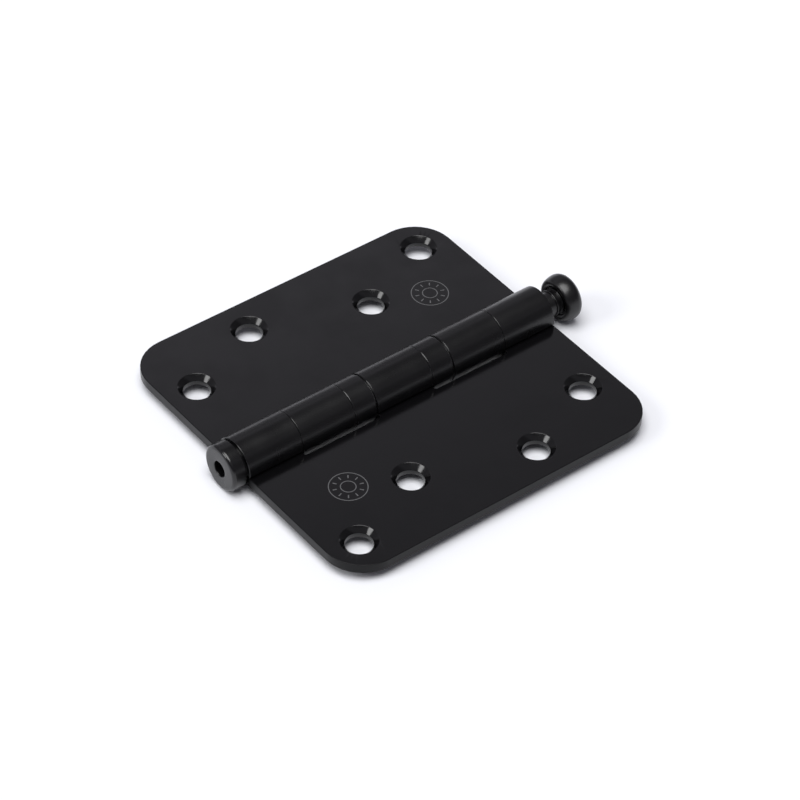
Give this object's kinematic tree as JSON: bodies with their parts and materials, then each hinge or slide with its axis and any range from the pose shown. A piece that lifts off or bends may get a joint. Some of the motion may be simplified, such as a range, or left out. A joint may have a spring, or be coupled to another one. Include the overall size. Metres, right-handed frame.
{
  "type": "door hinge",
  "caption": "Loose-pin butt hinge with two rounded-corner leaves, rolled knuckles, ball bearings between them, countersunk screw holes, a foot plug and a button-headed pin.",
  "frame": {"origin": "middle of the hinge's own box on the surface that the barrel rests on, with the leaves open flat; the pin axis lies 6 mm above it", "axes": "+Y along the pin towards its head (up when fitted), +Z out of the leaves' front faces, +X across the hinge towards the three-knuckle leaf"},
  "size_m": [0.089, 0.1028, 0.012],
  "materials": {
    "black_steel": "satin black coated steel with a fine texture",
    "black_pin": "semi-gloss black coated steel",
    "race_steel": "ground hardened steel",
    "ball_steel": "polished bearing steel",
    "cage_brass": "stamped brass, lightly oiled"
  },
  "bodies": {
    "frame_leaf": {"frame_leaf": "black_steel", "tip_plug": "black_pin", "lower_cap_race": "race_steel", "upper_casing": "black_steel", "upper_seat_race": "race_steel"},
    "door_leaf": {"door_leaf": "black_steel", "lower_casing": "black_steel", "lower_seat_race": "race_steel", "upper_cap_race": "race_steel"},
    "hinge_pin": {"hinge_pin": "black_pin"},
    "lower_cage": {"lower_cage": "cage_brass", "lower_ball_01": "ball_steel", "lower_ball_02": "ball_steel", "lower_ball_03": "ball_steel", "lower_ball_04": "ball_steel", "lower_ball_05": "ball_steel", "lower_ball_06": "ball_steel", "lower_ball_07": "ball_steel", "lower_ball_08": "ball_steel", "lower_ball_09": "ball_steel", "lower_ball_10": "ball_steel"},
    "upper_cage": {"upper_cage": "cage_brass", "upper_ball_01": "ball_steel", "upper_ball_02": "ball_steel", "upper_ball_03": "ball_steel", "upper_ball_04": "ball_steel", "upper_ball_05": "ball_steel", "upper_ball_06": "ball_steel", "upper_ball_07": "ball_steel", "upper_ball_08": "ball_steel", "upper_ball_09": "ball_steel", "upper_ball_10": "ball_steel"}
  },
  "joints": [
    {"name": "door_swing", "type": "hinge", "parent": "frame_leaf", "child": "door_leaf", "pos_m": [0, -0.00274, 0.006], "axis": [0, 1, 0], "range_deg": [-110, 180]},
    {"name": "pin_slide", "type": "slide", "parent": "frame_leaf", "child": "hinge_pin", "axis": [0, 1, 0], "range_m": [-0.0036, 0.08]},
    {"name": "lower_cage_turn", "type": "hinge", "parent": "frame_leaf", "child": "lower_cage", "pos_m": [0, -0.00274, 0.006], "axis": [0, 1, 0], "range_deg": [-55, 90]},
    {"name": "upper_cage_turn", "type": "hinge", "parent": "frame_leaf", "child": "upper_cage", "pos_m": [0, -0.00274, 0.006], "axis": [0, 1, 0], "range_deg": [-55, 90]}
  ],
  "couplings": [
    {"joint": "lower_cage_turn", "follows": "door_swing", "ratio": 0.5},
    {"joint": "upper_cage_turn", "follows": "door_swing", "ratio": 0.5}
  ]
}
